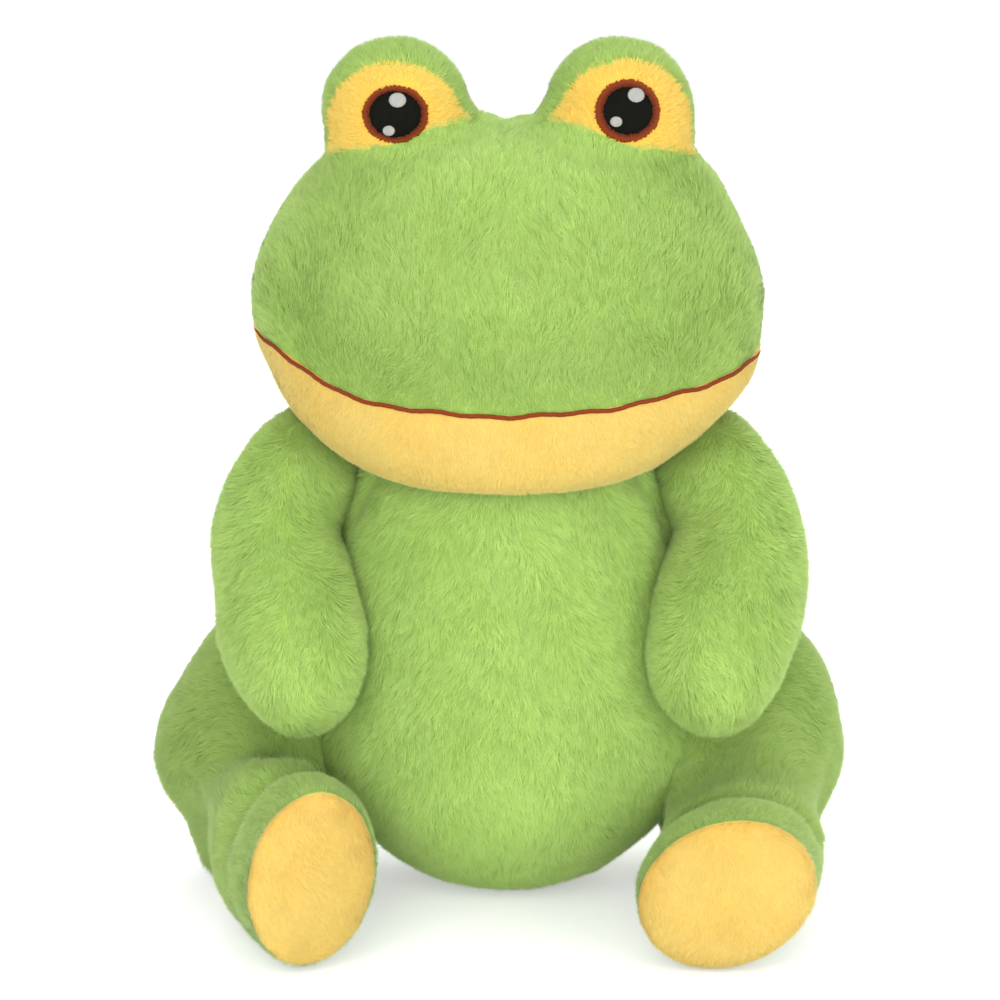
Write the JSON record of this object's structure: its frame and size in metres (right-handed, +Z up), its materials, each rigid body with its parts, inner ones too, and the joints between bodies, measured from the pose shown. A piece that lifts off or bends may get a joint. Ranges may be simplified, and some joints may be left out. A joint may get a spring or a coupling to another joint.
{
  "type": "plush frog",
  "caption": "Seated stuffed toy frog with sewn skin panels, a wide head with raised eye mounds, and soft limbs that lift.",
  "frame": {"origin": "middle of the flat underside of the seat, on the surface that the frog sits on", "axes": "+Z up through the head, -Y the way the frog faces, +X towards the frog's own left"},
  "size_m": [0.2423, 0.1794, 0.2969],
  "materials": {
    "plush_green": "long pile plush",
    "plush_yellow": "short pile plush",
    "thread_rust": "satin stitched thread",
    "thread_black": "satin stitched thread",
    "thread_grey": "satin stitched thread",
    "fibre_fill": "loose polyester fibre"
  },
  "bodies": {
    "torso": {"torso_front_panel": "plush_green", "torso_back_panel_left": "plush_green", "torso_back_panel_right": "plush_green", "torso_stuffing": "fibre_fill"},
    "neck": {"neck_stuffing": "fibre_fill"},
    "head": {"head_front_panel": "plush_green", "jaw_panel": "plush_yellow", "head_back_panel_left": "plush_green", "head_back_panel_right": "plush_green", "head_stuffing": "fibre_fill", "mouth_line": "thread_rust", "eye_hood_left": "plush_green", "eye_patch_left": "plush_yellow", "eye_stuffing_left": "fibre_fill", "iris_ring_left": "thread_rust", "pupil_left": "thread_black", "highlight_large_left": "thread_grey", "highlight_small_left": "thread_grey", "eye_hood_right": "plush_green", "eye_patch_right": "plush_yellow", "eye_stuffing_right": "fibre_fill", "iris_ring_right": "thread_rust", "pupil_right": "thread_black", "highlight_large_right": "thread_grey", "highlight_small_right": "thread_grey"},
    "arm_left": {"arm_outer_panel_left": "plush_green", "arm_inner_panel_left": "plush_green", "arm_stuffing_left": "fibre_fill"},
    "arm_right": {"arm_outer_panel_right": "plush_green", "arm_inner_panel_right": "plush_green", "arm_stuffing_right": "fibre_fill"},
    "leg_left": {"leg_outer_panel_left": "plush_green", "leg_inner_panel_left": "plush_green", "sole_left": "plush_yellow", "leg_stuffing_left": "fibre_fill"},
    "leg_right": {"leg_outer_panel_right": "plush_green", "leg_inner_panel_right": "plush_green", "sole_right": "plush_yellow", "leg_stuffing_right": "fibre_fill"}
  },
  "joints": [
    {"name": "neck_turn", "type": "hinge", "parent": "torso", "child": "neck", "pos_m": [0, 0, 0.139], "axis": [0, 0, 1], "range_deg": [-15, 15], "stiffness_Nm_per_rad": 0.4},
    {"name": "head_nod", "type": "hinge", "parent": "neck", "child": "head", "pos_m": [0, 0, 0.139], "axis": [-1, 0, 0], "range_deg": [-7, 5], "stiffness_Nm_per_rad": 3},
    {"name": "arm_left_lift", "type": "hinge", "parent": "torso", "child": "arm_left", "pos_m": [0.049, 0.001, 0.149], "axis": [-1, 0, 0], "range_deg": [0, 20]},
    {"name": "arm_right_lift", "type": "hinge", "parent": "torso", "child": "arm_right", "pos_m": [-0.049, 0.001, 0.149], "axis": [-1, 0, 0], "range_deg": [0, 20]},
    {"name": "leg_left_lift", "type": "hinge", "parent": "torso", "child": "leg_left", "pos_m": [0.046, 0.009, 0.047], "axis": [-1, 0, 0], "range_deg": [0, 7]},
    {"name": "leg_right_lift", "type": "hinge", "parent": "torso", "child": "leg_right", "pos_m": [-0.046, 0.009, 0.047], "axis": [-1, 0, 0], "range_deg": [0, 7]}
  ]
}
